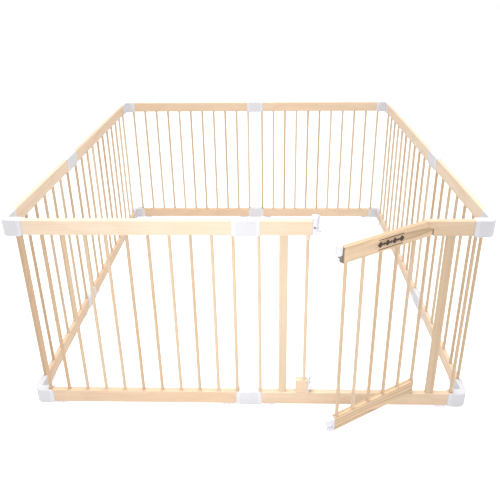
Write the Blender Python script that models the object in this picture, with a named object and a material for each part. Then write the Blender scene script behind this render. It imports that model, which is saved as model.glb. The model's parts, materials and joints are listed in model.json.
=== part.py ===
"""Wooden playpen: seven barred panels, a gate panel with a hinged gate, plastic sleeves and suction feet.

Metres, +Z up. The pen's sides run along X and Y, the gate panel is at the front right (-Y side, +X half).
The origin is on the floor, under the middle of the whole object with the gate standing open.
"""
import math

import bmesh
import bpy
from mathutils import Matrix, Vector

# Wooden rails and bars
RAIL_HEIGHT = 0.052
RAIL_THICK = 0.0165
RAIL_ROUND = 0.0025
BAR_PITCH = 0.066
BAR_DIAMETER = 0.011
BAR_SOCKET = 0.013  # how deep a bar or slat goes into a rail
CLEAR_HEIGHT = 0.629  # from the bottom rail's top to the top rail's underside
SLAT_WIDTH = 0.028
SLAT_THICK = 0.0105
LONG_PANEL_BARS = 11
SHORT_PANEL_BARS = 7
SLAT_ROUND = 0.002
FIT = 0.0003  # gap between touching pieces
OVERCUT = 0.010  # how far a cutter runs past the face that it opens

# Where the bars stand
MIDDLE_INSET = 0.040  # from a middle joint to the first bar
FRONT_END_INSET = 0.0475  # from the side panels' plane to the last bar of the front and the back
SIDE_END_INSET = 0.056  # from the front or back plane to the last bar of the sides

# Plastic sleeves
SLEEVE_WALL = 0.003
MIDDLE_SLEEVE_LENGTH = 0.089
CORNER_LEG = 0.06925  # outer corner to the end of a leg
CORNER_ROUND = 0.028
SLEEVE_CHAMFER = 0.0018
RAIL_SETBACK = 0.002  # from the crossing rail's face to a rail's end inside a corner sleeve

# Suction feet
FOOT_HEIGHT = 0.006
FOOT_DIAMETER = 0.046
FOOT_RIM = 0.0012  # thickness of the cup's rim
FOOT_STEP = 0.0015  # how far the dome starts inside the rim
FOOT_NECK = 0.0165  # radius where the dome meets the rail
FOOT_STEM = 0.008
FOOT_STEM_LENGTH = 0.012

# Gate
GATE_OPEN_DEG = 25.5  # how far it stands open at rest
PIVOT_X = 0.559
GATE_BARS = 6
GATE_BAR_PITCH = 0.061
GATE_RAIL_END = 0.3165  # from the pivot axis to the free end of the rails
GATE_LIFT = 0.003  # gap under the gate's bottom rail
TONGUE_ROUND = RAIL_THICK / 2
SHOULDER_ROUND = 0.021  # hollow end of the gate rail's upper half, round the pivot axis
UPPER_TONGUE_ROUND = 0.020  # round end of the fixed rail's upper half
HINGE_LAP = 0.0098  # from the pivot axis to the fixed rail's lower shoulder
LAP_GAP = 0.001  # from the lap's middle plane to each half
HINGE_BAR_SOCKET = 0.007  # how deep the gate's last bar goes into the top rail's tongue
PIN_DIAMETER = 0.008
PIN_HOLD = 0.020  # how deep the lower pin goes into both rails
UPPER_PIN_LOW = 0.010  # the upper pin's hole starts this far above the rails' underside
UPPER_PIN_HIGH = 0.005  # and ends this far below their top
COLLAR_DIAMETER = 0.016

# Fixed pieces of the gate panel
LATCH_RAIL_END = 0.203
LATCH_SLAT_X = 0.1165
LATCH_BAR_X = 0.191
BLOCK_LENGTH = 0.040
BLOCK_ROUND = 0.002
HINGE_SLAT_X = 0.625
POST_COLLAR_DIAMETER = 0.0146
POST_COLLAR_HEIGHT = 0.016

# Latch
KNOB_INNER = 0.3215  # distances from the pivot axis
KNOB_OUTER = 0.3395
KNOB_WIDTH = 0.020
KNOB_HEIGHT = 0.037
KNOB_DROP = 0.010  # how far it drops to lock
KNOB_ABOVE_RAIL = 0.012
KNOB_ROUND = 0.005
GUIDE_WIDTH = 0.008
GUIDE_DEPTH = 0.0045
GUIDE_INSETS = (0.003, 0.002)  # from the rail's underside and top to the guide's ends
GUIDE_PLAY = 0.0004  # on each side of the guide in the knob's slot
GUIDE_END_PLAY = 0.0008
HOUSING_PLATE = 0.0035
PLATE_INSET = 0.001  # how much smaller than the rail's end an end plate is
PLATE_ROUND = 0.001
BOLT_DIAMETER = 0.006
BOLT_AT = 0.331
BOLT_BELOW_KNOB = 0.008
BOLT_HOLD = 0.012  # how deep the bolt goes into the knob
BOLT_PLAY = 0.0006
RECEIVER_CAP = 0.015
RECEIVER_ROUND = 0.0015
SHELF_LENGTH = 0.0145
SHELF_HEIGHT = 0.0105
LIP_CLEAR = 0.001  # from the knob's side to the lip
LIP_THICK = 0.003
LIP_LENGTH = 0.0095
LIP_STEP = 0.002  # how much lower than the cap the lip is, at its top and its foot
SCREW_DIAMETER = 0.008
SCREW_LENGTH = 0.005
SCREW_RECESS = 0.0007
SCREW_ABOVE_MIDDLE = 0.002
ROOT = 0.004  # how far a joined shape starts inside the one that carries it
SKIN = 0.0005  # a joined shape stays this far inside its neighbour's faces

# Lower catch
PRONG_OUTER = 0.345
LOWER_PRONG_OUTER = 0.339
PRONG_WIDTH = 0.018
PRONG_ROUND = 0.003
CATCH_SLOT = (0.016, 0.029)  # heights of the slot above the fixed bottom rail
TONGUE = (0.018, 0.027)
TONGUE_LENGTH = 0.015
CATCH_PLATE = 0.0045
CATCH_ABOVE_RAIL = 0.004

BAR_SIDES = 10
FOOT_SIDES = 16
PIN_SIDES = 16
ROUND_SIDES = 24
HOLLOW_SIDES = 36
SHARP_DEG = 35  # edges steeper than this stay sharp on smooth pieces

# Worked out from the above
HALF_WIDTH = MIDDLE_INSET + (LONG_PANEL_BARS - 1) * BAR_PITCH + FRONT_END_INSET
SHORT_SPAN = SIDE_END_INSET + (SHORT_PANEL_BARS - 1) * BAR_PITCH + MIDDLE_INSET
LONG_SPAN = SIDE_END_INSET + (LONG_PANEL_BARS - 1) * BAR_PITCH + MIDDLE_INSET
HALF_DEPTH = (SHORT_SPAN + LONG_SPAN) / 2
OPEN = math.radians(GATE_OPEN_DEG)
GATE_REACH = (
    (PRONG_OUTER - PRONG_ROUND) * math.sin(OPEN)
    + (PRONG_WIDTH / 2 - PRONG_ROUND) * math.cos(OPEN)
    + PRONG_ROUND
)
PEN_CENTRE_Y = (GATE_REACH - FOOT_DIAMETER / 2) / 2
FRONT_Y = PEN_CENTRE_Y - HALF_DEPTH
LOW_RAIL = (FOOT_HEIGHT, FOOT_HEIGHT + RAIL_HEIGHT)
TOP_RAIL = (LOW_RAIL[1] + CLEAR_HEIGHT, LOW_RAIL[1] + CLEAR_HEIGHT + RAIL_HEIGHT)
GATE_LOW_RAIL = (LOW_RAIL[1] + GATE_LIFT, LOW_RAIL[1] + GATE_LIFT + RAIL_HEIGHT)
LAP = (TOP_RAIL[0] + TOP_RAIL[1]) / 2
CORNER_GAP = RAIL_THICK / 2 + RAIL_SETBACK  # from the corner's axis to the end of a rail
BAR_R = BAR_DIAMETER / 2

for old in list(bpy.data.objects):
    bpy.data.objects.remove(old)


def new_collection(name):
    group = bpy.data.collections.new(name)
    bpy.context.scene.collection.children.link(group)
    return group


PARTS = new_collection("playpen")
CUTTERS = new_collection("cutters")


def new_material(name, colour, roughness, metallic=0.0):
    mat = bpy.data.materials.new(name)
    mat.use_nodes = True
    shader = mat.node_tree.nodes["Principled BSDF"]
    shader.inputs["Base Color"].default_value = (*colour, 1.0)
    shader.inputs["Roughness"].default_value = roughness
    shader.inputs["Metallic"].default_value = metallic
    mat.diffuse_color = (*colour, 1.0)
    return mat


WOOD = new_material("pale_wood", (0.82, 0.64, 0.44), 0.55)
GATE_WOOD = new_material("gate_wood", (0.76, 0.57, 0.38), 0.55)
WHITE = new_material("white_plastic", (0.86, 0.86, 0.88), 0.4)
GREY = new_material("grey_plastic", (0.35, 0.35, 0.36), 0.5)
RUBBER = new_material("white_rubber", (0.80, 0.80, 0.82), 0.6)
STEEL = new_material("steel", (0.55, 0.55, 0.56), 0.35, 1.0)


def add_box(bm, low, high, bevel=0.0, segments=1):
    """A box between two corners, with all its edges rounded by bevel."""
    low, high = Vector(low), Vector(high)
    place = Matrix.Translation((low + high) / 2) @ Matrix.Diagonal((*(high - low), 1.0))
    verts = bmesh.ops.create_cube(bm, size=1.0, matrix=place)["verts"]
    if bevel:
        edges = list({e for v in verts for e in v.link_edges})
        bmesh.ops.bevel(
            bm, geom=edges, offset=bevel, segments=segments, profile=0.5, affect="EDGES", clamp_overlap=True
        )


def add_rod(bm, x, y, low, high, radius, sides=BAR_SIDES, top_radius=None):
    """An upright cylinder or cone from the height low to high."""
    bmesh.ops.create_cone(
        bm,
        cap_ends=True,
        segments=sides,
        radius1=radius,
        radius2=radius if top_radius is None else top_radius,
        depth=high - low,
        matrix=Matrix.Translation((x, y, (low + high) / 2)),
    )


def add_prism(bm, outline, low, high):
    """An upright prism on a flat outline of (x, y) points that runs anticlockwise."""
    ring = [bm.verts.new((x, y, low)) for x, y in outline]
    face = bm.faces.new(ring)
    made = bmesh.ops.extrude_face_region(bm, geom=[face])["geom"]
    top = [v for v in made if isinstance(v, bmesh.types.BMVert)]
    bmesh.ops.translate(bm, verts=top, vec=(0, 0, high - low))
    bmesh.ops.recalc_face_normals(bm, faces=bm.faces)


def arc(cx, cy, radius, start, end, steps):
    """Points on an arc, with angles in degrees."""
    turn = [math.radians(start + (end - start) * i / steps) for i in range(steps + 1)]
    return [(cx + radius * math.cos(a), cy + radius * math.sin(a)) for a in turn]


def make(name, bm, material, smooth=False, collection=PARTS):
    """Turns a bmesh into a named object."""
    mesh = bpy.data.meshes.new(name)
    bm.to_mesh(mesh)
    bm.free()
    mesh.materials.append(material)
    if smooth:
        mesh.shade_smooth()
        mesh.set_sharp_from_angle(angle=math.radians(SHARP_DEG))
    obj = bpy.data.objects.new(name, mesh)
    collection.objects.link(obj)
    return obj


def place(obj, parent, location=(0, 0, 0), turn=0.0):
    obj.parent = parent
    obj.location = location
    obj.rotation_euler = (0, 0, turn)
    return obj


def combine(obj, bm, operation):
    """Joins a bmesh's solids to obj, or cuts them out of it."""
    tool = make(obj.name + "_" + operation.lower(), bm, obj.data.materials[0], collection=CUTTERS)
    tool.parent = obj
    tool.hide_render = True
    tool.display_type = "WIRE"
    step = obj.modifiers.new(operation.title(), "BOOLEAN")
    step.operation = operation
    step.object = tool


def new_empty(name, location, turn=0.0, parent=None):
    empty = bpy.data.objects.new(name, None)
    empty.empty_display_size = 0.05
    empty.location = location
    empty.rotation_euler = (0, 0, turn)
    empty.parent = parent
    PARTS.objects.link(empty)
    return empty


def foot_places(first, last):
    """Feet stand half a pitch inside a panel's end bars."""
    return (first + BAR_PITCH / 2, last - BAR_PITCH / 2)


def add_foot_holes(bm, places):
    for x in places:
        top = LOW_RAIL[0] + FOOT_STEM_LENGTH + FIT
        add_rod(bm, x, 0, LOW_RAIL[0] - OVERCUT, top, FOOT_STEM / 2 + FIT)


def ladder(name, parent, low, high, first, count):
    """A panel between low and high along its side, with count bars from first."""
    bm = bmesh.new()
    for bottom, top in (LOW_RAIL, TOP_RAIL):
        add_box(bm, (low, -RAIL_THICK / 2, bottom), (high, RAIL_THICK / 2, top), RAIL_ROUND)
    panel = place(make(name, bm, WOOD), parent)
    bars = bmesh.new()
    for i in range(count):
        x = first + i * BAR_PITCH
        add_rod(bars, x, 0, LOW_RAIL[1] - BAR_SOCKET, TOP_RAIL[0] + BAR_SOCKET, BAR_R)
    combine(panel, bars, "UNION")
    holes = bmesh.new()
    add_foot_holes(holes, foot_places(first, first + (count - 1) * BAR_PITCH))
    combine(panel, holes, "DIFFERENCE")


def foot(name, parent, x):
    """A suction foot: a flared cup under a stem that goes up into the rail."""
    bm = bmesh.new()
    cup = LOW_RAIL[0] - FIT
    add_rod(bm, x, 0, 0.0, FOOT_RIM, FOOT_DIAMETER / 2, FOOT_SIDES)
    body = place(make(name, bm, RUBBER, smooth=True), parent)
    dome = bmesh.new()
    add_rod(dome, x, 0, FOOT_RIM - SKIN, cup, FOOT_DIAMETER / 2 - FOOT_STEP, FOOT_SIDES, FOOT_NECK)
    combine(body, dome, "UNION")
    stem = bmesh.new()
    add_rod(stem, x, 0, cup - SKIN, LOW_RAIL[0] + FOOT_STEM_LENGTH - FIT, FOOT_STEM / 2)
    combine(body, stem, "UNION")


def bar_slot(bm, bar, end, rail):
    """A slot from a bar to a sleeve's end, in the wall the bar leaves by, so that the sleeve slides on."""
    bottom, top = rail
    low, high = (top - ROOT, top + OVERCUT) if rail == LOW_RAIL else (bottom - OVERCUT, bottom + ROOT)
    half = BAR_R + 2 * FIT
    heading = math.degrees(math.atan2(end[1] - bar[1], end[0] - bar[0]))
    outline = arc(*bar, half, heading + 90, heading + 270, BAR_SIDES // 2)
    reach = math.dist(bar, end)
    ahead = Matrix.Rotation(math.radians(heading), 2)
    outline += [Vector(bar) + ahead @ Vector((reach, side)) for side in (-half, half)]
    add_prism(bm, outline, low, high)


def middle_sleeve(name, parent, at, rail):
    """A straight sleeve over the joint of two rails."""
    bottom, top = rail
    half = RAIL_THICK / 2 + SLEEVE_WALL
    reach = MIDDLE_SLEEVE_LENGTH / 2
    bm = bmesh.new()
    low, high = (at - reach, -half, bottom - SLEEVE_WALL), (at + reach, half, top + SLEEVE_WALL)
    add_box(bm, low, high, SLEEVE_CHAMFER)
    sleeve = place(make(name, bm, WHITE), parent)
    hollow = bmesh.new()
    room = RAIL_THICK / 2 + FIT
    far = reach + OVERCUT
    add_box(hollow, (at - far, -room, bottom - FIT), (at + far, room, top + FIT))
    combine(sleeve, hollow, "DIFFERENCE")
    for sign in (-1, 1):
        slot = bmesh.new()
        bar_slot(slot, (at + sign * MIDDLE_INSET, 0), (at + sign * far, 0), rail)
        combine(sleeve, slot, "DIFFERENCE")


def corner_sleeve(name, centre, facing, rail, insets):
    """An elbow over the ends of two rails. facing is the corner's signs in X and Y."""
    bottom, top = rail
    sx, sy = facing
    half = RAIL_THICK / 2 + SLEEVE_WALL
    inner = CORNER_LEG - half
    outline = [(-inner, -half), (-half, -half), (-half, -inner), (half, -inner)]
    outline += arc(half - CORNER_ROUND, half - CORNER_ROUND, CORNER_ROUND, 0, 90, 6)
    outline += [(-inner, half)]
    if sx * sy < 0:
        outline.reverse()
    bm = bmesh.new()
    add_prism(bm, [(x * sx, y * sy) for x, y in outline], bottom - SLEEVE_WALL, top + SLEEVE_WALL)
    flat = [e for e in bm.edges if abs(e.verts[0].co.z - e.verts[1].co.z) < 1e-6]
    bmesh.ops.bevel(bm, geom=flat, offset=SLEEVE_CHAMFER, segments=1, affect="EDGES")
    sleeve = place(make(name, bm, WHITE), PEN, centre)
    hollow = bmesh.new()
    reach = inner + OVERCUT
    room = RAIL_THICK / 2 + FIT
    end = CORNER_GAP - FIT
    z0, z1 = bottom - FIT, top + FIT
    for (x0, x1), (y0, y1) in (((-reach, -end), (-room, room)), ((-room, room), (-reach, -end))):
        xs, ys = sorted((x0 * sx, x1 * sx)), sorted((y0 * sy, y1 * sy))
        add_box(hollow, (xs[0], ys[0], z0), (xs[1], ys[1], z1))
    combine(sleeve, hollow, "DIFFERENCE")
    for bar, end in (
        ((-insets[0] * sx, 0), (-reach * sx, 0)),
        ((0, -insets[1] * sy), (0, -reach * sy)),
    ):
        slot = bmesh.new()
        bar_slot(slot, bar, end, rail)
        combine(sleeve, slot, "DIFFERENCE")


def fixed_bar(name, x):
    bm = bmesh.new()
    foot_end = LOW_RAIL[1] - BAR_SOCKET + FIT
    add_rod(bm, x, 0, foot_end, TOP_RAIL[0] + BAR_SOCKET - FIT, BAR_R)
    place(make(name, bm, WOOD, smooth=True), FRONT)


def slat(name, x):
    bm = bmesh.new()
    low = (x - SLAT_WIDTH / 2, -SLAT_THICK / 2, LOW_RAIL[1] - BAR_SOCKET + FIT)
    high = (x + SLAT_WIDTH / 2, SLAT_THICK / 2, TOP_RAIL[0] + BAR_SOCKET - FIT)
    add_box(bm, low, high, SLAT_ROUND)
    place(make(name, bm, WOOD), FRONT)


def add_bar_socket(bm, x, low, high):
    add_rod(bm, x, 0, low, high, BAR_R + FIT)


def add_slat_socket(bm, x, low, high):
    half_w, half_t = SLAT_WIDTH / 2 + FIT, SLAT_THICK / 2 + FIT
    add_box(bm, (x - half_w, -half_t, low), (x + half_w, half_t, high))


def gate_panel_frame():
    """The fixed pieces round the gateway."""
    half = RAIL_THICK / 2
    corner_x = HALF_WIDTH - FRONT_END_INSET
    start, end = FIT, HALF_WIDTH - CORNER_GAP
    floor, roof = LOW_RAIL[1] - BAR_SOCKET, TOP_RAIL[0] + BAR_SOCKET

    bm = bmesh.new()
    add_box(bm, (start, -half, LOW_RAIL[0]), (end, half, LOW_RAIL[1]), RAIL_ROUND)
    rail = place(make("gate_panel_bottom_rail", bm, WOOD), FRONT)
    holes = bmesh.new()
    for x in (MIDDLE_INSET, corner_x):
        add_bar_socket(holes, x, floor, LOW_RAIL[1] + OVERCUT)
    for x in (LATCH_SLAT_X, HINGE_SLAT_X):
        add_slat_socket(holes, x, floor, LOW_RAIL[1] + OVERCUT)
    add_rod(holes, PIVOT_X, 0, LOW_RAIL[1] - PIN_HOLD - FIT, LOW_RAIL[1] + OVERCUT, PIN_DIAMETER / 2 + FIT)
    add_foot_holes(holes, foot_places(MIDDLE_INSET, corner_x))
    combine(rail, holes, "DIFFERENCE")

    bm = bmesh.new()
    add_box(bm, (start, -half, TOP_RAIL[0]), (LATCH_RAIL_END, half, TOP_RAIL[1]), RAIL_ROUND)
    rail = place(make("latch_side_top_rail", bm, WOOD), FRONT)
    holes = bmesh.new()
    for x in (MIDDLE_INSET, LATCH_BAR_X):
        add_bar_socket(holes, x, TOP_RAIL[0] - OVERCUT, roof)
    add_slat_socket(holes, LATCH_SLAT_X, TOP_RAIL[0] - OVERCUT, roof)
    combine(rail, holes, "DIFFERENCE")

    bm = bmesh.new()
    add_box(bm, (PIVOT_X + HINGE_LAP, -half, TOP_RAIL[0]), (end, half, TOP_RAIL[1]), RAIL_ROUND)
    rail = place(make("hinge_side_top_rail", bm, WOOD), FRONT)
    tongue = bmesh.new()
    spread = math.degrees(math.asin(half / UPPER_TONGUE_ROUND))
    outline = arc(PIVOT_X, 0, UPPER_TONGUE_ROUND, 180 - spread, 180 + spread, 8)
    outline += [(PIVOT_X + 2 * HINGE_LAP, -half), (PIVOT_X + 2 * HINGE_LAP, half)]
    add_prism(tongue, outline, LAP + LAP_GAP, TOP_RAIL[1])
    combine(rail, tongue, "UNION")
    holes = bmesh.new()
    add_rod(holes, PIVOT_X, 0, LAP - OVERCUT, TOP_RAIL[1] - UPPER_PIN_HIGH, PIN_DIAMETER / 2 + FIT)
    add_slat_socket(holes, HINGE_SLAT_X, TOP_RAIL[0] - OVERCUT, roof)
    add_bar_socket(holes, corner_x, TOP_RAIL[0] - OVERCUT, roof)
    combine(rail, holes, "DIFFERENCE")

    bm = bmesh.new()
    left, right = LATCH_RAIL_END - BLOCK_LENGTH, LATCH_RAIL_END
    add_box(bm, (left, -half, LOW_RAIL[1] + FIT), (right, half, GATE_LOW_RAIL[1]), BLOCK_ROUND)
    block = place(make("latch_post_block", bm, WOOD), FRONT)
    holes = bmesh.new()
    add_bar_socket(holes, LATCH_BAR_X, GATE_LOW_RAIL[1] - BAR_SOCKET, GATE_LOW_RAIL[1] + OVERCUT)
    combine(block, holes, "DIFFERENCE")

    bm = bmesh.new()
    foot_end = GATE_LOW_RAIL[1] - BAR_SOCKET + FIT
    add_rod(bm, LATCH_BAR_X, 0, foot_end, roof - FIT, BAR_R)
    place(make("latch_post_bar", bm, WOOD, smooth=True), FRONT)

    bm = bmesh.new()
    collar_low, collar_high = TOP_RAIL[0] - POST_COLLAR_HEIGHT, TOP_RAIL[0] - FIT
    add_rod(bm, LATCH_BAR_X, 0, collar_low, collar_high, POST_COLLAR_DIAMETER / 2, ROUND_SIDES)
    collar = place(make("latch_bar_collar", bm, WHITE, smooth=True), FRONT)
    hole = bmesh.new()
    add_bar_socket(hole, LATCH_BAR_X, collar_low - OVERCUT, collar_high + OVERCUT)
    combine(collar, hole, "DIFFERENCE")

    fixed_bar("middle_joint_bar", MIDDLE_INSET)
    fixed_bar("gate_panel_corner_bar", corner_x)
    slat("latch_side_slat", LATCH_SLAT_X)
    slat("hinge_side_slat", HINGE_SLAT_X)


def gate_wood():
    """The gate's rails and bars, drawn closed: the free end points to -X from the pivot axis."""
    half = RAIL_THICK / 2
    bars = [-i * GATE_BAR_PITCH for i in range(GATE_BARS)]

    bm = bmesh.new()
    add_box(bm, (-GATE_RAIL_END, -half, TOP_RAIL[0]), (0, half, TOP_RAIL[1]), RAIL_ROUND)
    rail = place(make("gate_top_rail", bm, GATE_WOOD), GATE)
    cut = bmesh.new()
    add_rod(cut, 0, 0, LAP - LAP_GAP, TOP_RAIL[1] + OVERCUT, SHOULDER_ROUND, HOLLOW_SIDES)
    combine(rail, cut, "DIFFERENCE")
    tongue = bmesh.new()
    add_rod(tongue, 0, 0, TOP_RAIL[0], LAP - LAP_GAP, TONGUE_ROUND, ROUND_SIDES)
    combine(rail, tongue, "UNION")
    holes = bmesh.new()
    for x in bars[1:]:
        add_bar_socket(holes, x, TOP_RAIL[0] - OVERCUT, TOP_RAIL[0] + BAR_SOCKET)
    add_bar_socket(holes, 0, TOP_RAIL[0] - OVERCUT, TOP_RAIL[0] + HINGE_BAR_SOCKET)
    add_rod(holes, 0, 0, TOP_RAIL[0] + UPPER_PIN_LOW, LAP + OVERCUT, PIN_DIAMETER / 2 + FIT)
    combine(rail, holes, "DIFFERENCE")

    bm = bmesh.new()
    add_box(bm, (-GATE_RAIL_END, -half, GATE_LOW_RAIL[0]), (0, half, GATE_LOW_RAIL[1]), RAIL_ROUND)
    frame = place(make("gate_lower_frame", bm, GATE_WOOD), GATE)
    round_end = bmesh.new()
    add_rod(round_end, 0, 0, GATE_LOW_RAIL[0], GATE_LOW_RAIL[1], TONGUE_ROUND, ROUND_SIDES)
    combine(frame, round_end, "UNION")
    rods = bmesh.new()
    for x in bars:
        depth = BAR_SOCKET if x < 0 else HINGE_BAR_SOCKET
        add_rod(rods, x, 0, GATE_LOW_RAIL[1] - BAR_SOCKET, TOP_RAIL[0] + depth - FIT, BAR_R)
    combine(frame, rods, "UNION")
    hole = bmesh.new()
    pin_end = GATE_LOW_RAIL[0] + PIN_HOLD + FIT
    add_rod(hole, 0, 0, GATE_LOW_RAIL[0] - OVERCUT, pin_end, PIN_DIAMETER / 2 + FIT)
    combine(frame, hole, "DIFFERENCE")


def hinge_pins():
    """Two steel pins in the frame, on which the gate turns."""
    bm = bmesh.new()
    low, high = TOP_RAIL[0] + UPPER_PIN_LOW + FIT, TOP_RAIL[1] - UPPER_PIN_HIGH - FIT
    add_rod(bm, 0, 0, low, high, PIN_DIAMETER / 2, PIN_SIDES)
    place(make("upper_hinge_pin", bm, STEEL, smooth=True), FRONT, (PIVOT_X, 0, 0))

    bm = bmesh.new()
    add_rod(bm, 0, 0, LOW_RAIL[1] - PIN_HOLD, GATE_LOW_RAIL[0] + PIN_HOLD, PIN_DIAMETER / 2, PIN_SIDES)
    pin = place(make("lower_hinge_pin", bm, STEEL, smooth=True), FRONT, (PIVOT_X, 0, 0))
    collar = bmesh.new()
    add_rod(collar, 0, 0, LOW_RAIL[1] + FIT, GATE_LOW_RAIL[0] - FIT, COLLAR_DIAMETER / 2, ROUND_SIDES)
    combine(pin, collar, "UNION")


def latch():
    """A knob that slides up and down on the gate's free end and drops a bolt into the receiver."""
    half = KNOB_WIDTH / 2
    knob_top = TOP_RAIL[1] + KNOB_ABOVE_RAIL
    knob_low = knob_top - KNOB_HEIGHT
    plate = GATE_RAIL_END + FIT
    guide_low, guide_high = TOP_RAIL[0] + GUIDE_INSETS[0], TOP_RAIL[1] - GUIDE_INSETS[1]
    guide_end = -plate - HOUSING_PLATE - GUIDE_DEPTH

    bm = bmesh.new()
    low = (-plate - HOUSING_PLATE, -RAIL_THICK / 2 + PLATE_INSET, TOP_RAIL[0] + PLATE_INSET)
    high = (-plate, RAIL_THICK / 2 - PLATE_INSET, TOP_RAIL[1] - PLATE_INSET)
    add_box(bm, low, high, PLATE_ROUND)
    housing = place(make("latch_housing", bm, GREY), GATE)
    guide = bmesh.new()
    low = (guide_end, -GUIDE_WIDTH / 2, guide_low)
    add_box(guide, low, (-plate - SKIN, GUIDE_WIDTH / 2, guide_high))
    combine(housing, guide, "UNION")

    bm = bmesh.new()
    add_box(bm, (-KNOB_OUTER, -half, knob_low), (-KNOB_INNER, half, knob_top), KNOB_ROUND, 3)
    knob = place(make("latch_knob", bm, WHITE, smooth=True), GATE)
    slot = bmesh.new()
    room = GUIDE_WIDTH / 2 + GUIDE_PLAY
    low = (guide_end - GUIDE_END_PLAY, -room, knob_low - OVERCUT)
    add_box(slot, low, (-KNOB_INNER + OVERCUT, room, guide_high + KNOB_DROP + GUIDE_END_PLAY))
    add_rod(slot, -BOLT_AT, 0, knob_low - OVERCUT, knob_low + BOLT_HOLD + FIT, BOLT_DIAMETER / 2 + FIT)
    combine(knob, slot, "DIFFERENCE")

    bm = bmesh.new()
    add_rod(bm, -BOLT_AT, 0, knob_low - BOLT_BELOW_KNOB, knob_low + BOLT_HOLD, BOLT_DIAMETER / 2)
    place(make("latch_bolt", bm, STEEL, smooth=True), GATE)


def add_level_rod(bm, at, length, radius):
    """A cylinder along Y, centred on at."""
    turn = Matrix.Rotation(math.radians(90), 4, "X")
    bmesh.ops.create_cone(
        bm,
        cap_ends=True,
        segments=PIN_SIDES,
        radius1=radius,
        radius2=radius,
        depth=length,
        matrix=Matrix.Translation(at) @ turn,
    )


def receivers():
    """Plastic caps on the fixed side of the gateway, which take the bolt and the lower catch."""
    half = RAIL_THICK / 2
    left = LATCH_RAIL_END + FIT
    cap = LATCH_RAIL_END + RECEIVER_CAP
    bottom = TOP_RAIL[0] + PLATE_INSET
    top = TOP_RAIL[1] + KNOB_ABOVE_RAIL - PLATE_INSET
    lip_front = KNOB_WIDTH / 2 + LIP_CLEAR
    lip_back = lip_front + LIP_THICK

    bm = bmesh.new()
    add_box(bm, (left, -half, bottom), (cap, lip_back, top), RECEIVER_ROUND)
    receiver = place(make("latch_receiver", bm, WHITE), FRONT)
    lip = bmesh.new()
    low = (cap - ROOT, lip_front, bottom + LIP_STEP)
    add_box(lip, low, (cap + LIP_LENGTH, lip_back - FIT, top - LIP_STEP), PLATE_ROUND)
    combine(receiver, lip, "UNION")
    shelf = bmesh.new()
    low = (cap - ROOT, -half + SKIN, bottom + SKIN)
    add_box(shelf, low, (cap + SHELF_LENGTH, lip_front + SKIN, bottom + SHELF_HEIGHT), PLATE_ROUND)
    combine(receiver, shelf, "UNION")
    holes = bmesh.new()
    bolt_hole_top = bottom + SHELF_HEIGHT + OVERCUT / 2
    add_rod(holes, PIVOT_X - BOLT_AT, 0, bottom - OVERCUT, bolt_hole_top, BOLT_DIAMETER / 2 + BOLT_PLAY)
    screw_x, screw_z = cap - RECEIVER_CAP / 2, LAP + SCREW_ABOVE_MIDDLE
    hole_length = 2 * (SCREW_LENGTH + SCREW_RECESS + FIT)
    add_level_rod(holes, (screw_x, -half, screw_z), hole_length, SCREW_DIAMETER / 2 + FIT)
    combine(receiver, holes, "DIFFERENCE")

    bm = bmesh.new()
    add_level_rod(bm, (0, 0, 0), SCREW_LENGTH, SCREW_DIAMETER / 2)
    at = (screw_x, -half + SCREW_RECESS + SCREW_LENGTH / 2, screw_z)
    place(make("receiver_screw", bm, STEEL, smooth=True), FRONT, at)

    bm = bmesh.new()
    base = LOW_RAIL[1]
    bottom, top = base + GATE_LIFT, GATE_LOW_RAIL[1] - PLATE_INSET
    cap = left + CATCH_PLATE
    add_box(bm, (left, -half, bottom), (cap, lip_back, top), PLATE_ROUND)
    lower = place(make("lower_receiver", bm, WHITE), FRONT)
    tongue = bmesh.new()
    low = (left + LIP_STEP, -half + PLATE_INSET, base + TONGUE[0])
    add_box(tongue, low, (cap + TONGUE_LENGTH, lip_front + SKIN, base + TONGUE[1]), PLATE_ROUND)
    combine(lower, tongue, "UNION")
    lip = bmesh.new()
    low = (left + LIP_STEP, lip_front, bottom + LIP_STEP)
    add_box(lip, low, (cap + LIP_LENGTH, lip_back - FIT, top - LIP_STEP), PLATE_ROUND)
    combine(lower, lip, "UNION")


def lower_catch():
    """A fork on the free end of the gate's bottom rail, which slides over the lower receiver's tongue."""
    half = PRONG_WIDTH / 2
    base = LOW_RAIL[1]
    plate = GATE_RAIL_END + FIT
    bm = bmesh.new()
    low = (-plate - CATCH_PLATE, -half, GATE_LOW_RAIL[0])
    add_box(bm, low, (-plate, half, GATE_LOW_RAIL[1]), PLATE_ROUND)
    catch = place(make("lower_catch", bm, WHITE), GATE)
    prongs = bmesh.new()
    inner = -plate - LIP_STEP
    low = (-LOWER_PRONG_OUTER, -half + SKIN, GATE_LOW_RAIL[0] + RECEIVER_ROUND)
    add_box(prongs, low, (inner, half - SKIN, base + CATCH_SLOT[0]), PRONG_ROUND, 2)
    low = (-PRONG_OUTER, -half, base + CATCH_SLOT[1])
    add_box(prongs, low, (inner, half, GATE_LOW_RAIL[1] + CATCH_ABOVE_RAIL), PRONG_ROUND, 2)
    combine(catch, prongs, "UNION")


PEN = new_empty("playpen", (0, 0, 0))
FRONT = new_empty("front_side", (0, FRONT_Y, 0), 0.0, PEN)
BACK = new_empty("back_side", (0, FRONT_Y + 2 * HALF_DEPTH, 0), 0.0, PEN)
LEFT = new_empty("left_side", (-HALF_WIDTH, FRONT_Y, 0), math.radians(90), PEN)
RIGHT = new_empty("right_side", (HALF_WIDTH, FRONT_Y, 0), math.radians(90), PEN)
GATE = new_empty("gate_hinge_axis", (PIVOT_X, 0, 0), OPEN, FRONT)

long_run = (LONG_PANEL_BARS - 1) * BAR_PITCH
short_run = (SHORT_PANEL_BARS - 1) * BAR_PITCH
width_end = HALF_WIDTH - CORNER_GAP
depth_end = 2 * HALF_DEPTH - CORNER_GAP

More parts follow.
